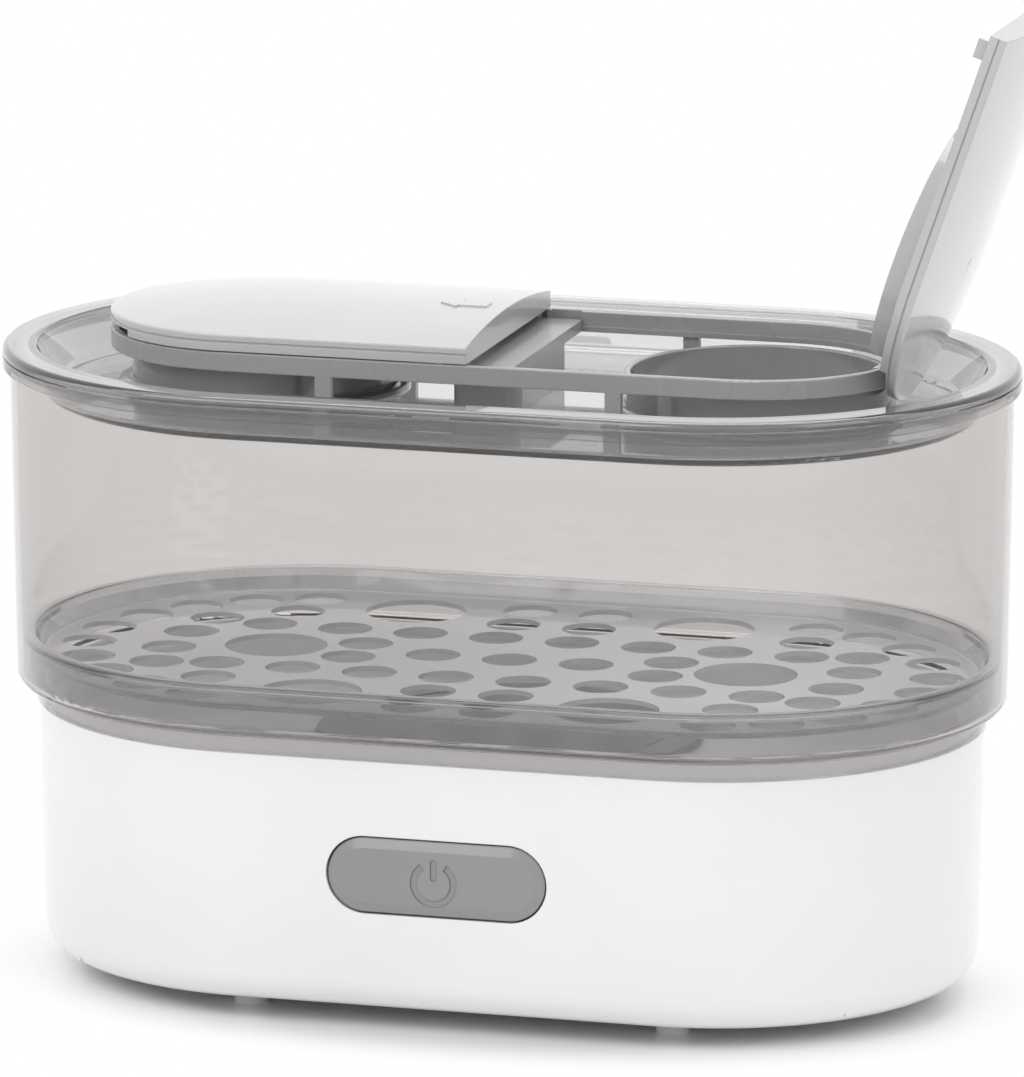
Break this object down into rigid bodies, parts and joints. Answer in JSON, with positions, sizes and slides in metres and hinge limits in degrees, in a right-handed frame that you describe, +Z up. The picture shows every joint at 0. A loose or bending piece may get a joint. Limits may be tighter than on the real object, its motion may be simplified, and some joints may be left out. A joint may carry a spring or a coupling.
{
  "type": "bottle sterilizer and warmer",
  "caption": "Oval tabletop steam sterilizer and warmer: white heated base, clear steaming chamber with perforated tray, dished cover with round ports and hinged lids.",
  "frame": {"origin": "centre of the base on the surface that it stands on, level with the bottom of the feet", "axes": "+Z up, the front with the power button towards -Y, +X along the length towards the lid that is open at rest"},
  "size_m": [0.2773, 0.1568, 0.2611],
  "materials": {
    "base_plastic": "white, satin gloss",
    "cover_plastic": "white, fine matt",
    "foot_rubber": "pale, soft matt",
    "steel": "plain steel",
    "plate_steel": "satin stainless steel",
    "silicone": "grey silicone",
    "element_metal": "dull metal sheath",
    "dark_plastic": "black, matt",
    "board": "green circuit board",
    "button_plastic": "mid grey, satin",
    "led_plastic": "tinted clear",
    "relay_plastic": "blue, matt",
    "capacitor_can": "drawn aluminium",
    "gland_plastic": "pale grey nylon",
    "terminal_plastic": "ivory nylon",
    "lead_brown": "brown insulation",
    "lead_blue": "blue insulation",
    "lead_white": "white heat-proof insulation",
    "clear_smoke": "clear, faintly smoky, glossy",
    "cover_smoke": "clear grey, glossy",
    "tray_plastic": "translucent light grey, satin",
    "frame_plastic": "mid grey, satin",
    "collar_plastic": "mid grey, glossy",
    "lid_plastic": "light grey, satin"
  },
  "bodies": {
    "base": {"base_housing": "base_plastic", "bottom_cover": "cover_plastic", "foot_front_left": "foot_rubber", "foot_front_right": "foot_rubber", "foot_back_left": "foot_rubber", "foot_back_right": "foot_rubber", "bottom_screws": "steel", "water_pan": "base_plastic", "plate_gasket": "silicone", "heating_plate": "plate_steel", "plate_clamp_ring": "steel", "plate_nuts": "steel", "heater_element": "element_metal", "thermostat": "steel", "thermostat_bracket": "steel", "bracket_nuts": "steel", "thermal_fuse": "capacitor_can", "tact_switch": "dark_plastic", "control_board": "board", "board_screws": "steel", "indicator_led": "led_plastic", "relay": "relay_plastic", "capacitor": "capacitor_can", "cord_gland": "gland_plastic", "gland_nut": "gland_plastic", "terminal_block": "terminal_plastic", "lead_live": "lead_brown", "lead_neutral": "lead_blue", "lead_heater": "lead_white", "lead_thermostat": "lead_white", "lead_fuse": "lead_white", "lead_return": "lead_white"},
    "button": {"power_button": "button_plastic", "switch_plunger": "dark_plastic"},
    "steam_chamber": {"chamber": "clear_smoke"},
    "steam_tray": {"tray": "tray_plastic"},
    "top_cover": {"cover": "cover_smoke", "left_port_collar": "collar_plastic", "right_port_collar": "collar_plastic", "lid_frame": "frame_plastic", "left_hinge_pin": "steel", "right_hinge_pin": "steel"},
    "lid_left": {"left_lid": "lid_plastic", "left_lid_liner": "lid_plastic"},
    "lid_right": {"right_lid": "lid_plastic", "right_lid_liner": "lid_plastic"}
  },
  "joints": [
    {"name": "power_button_press", "type": "slide", "parent": "base", "child": "button", "axis": [0, 1, 0], "range_m": [0, 0.0012], "stiffness_N_per_m": 600, "springref_m": -0.0015},
    {"name": "chamber_lift", "type": "slide", "parent": "base", "child": "steam_chamber", "axis": [0, 0, 1], "range_m": [0, 0.12]},
    {"name": "tray_lift", "type": "slide", "parent": "steam_chamber", "child": "steam_tray", "axis": [0, 0, 1], "range_m": [0, 0.055]},
    {"name": "cover_lift", "type": "slide", "parent": "steam_chamber", "child": "top_cover", "axis": [0, 0, 1], "range_m": [0, 0.12]},
    {"name": "left_lid_hinge", "type": "hinge", "parent": "top_cover", "child": "lid_left", "pos_m": [-0.1007, 0, 0.1671], "axis": [0, -1, 0], "range_deg": [0, 109]},
    {"name": "right_lid_hinge", "type": "hinge", "parent": "top_cover", "child": "lid_right", "pos_m": [0.1007, 0, 0.1671], "axis": [0, 1, 0], "range_deg": [-109, 0]}
  ]
}
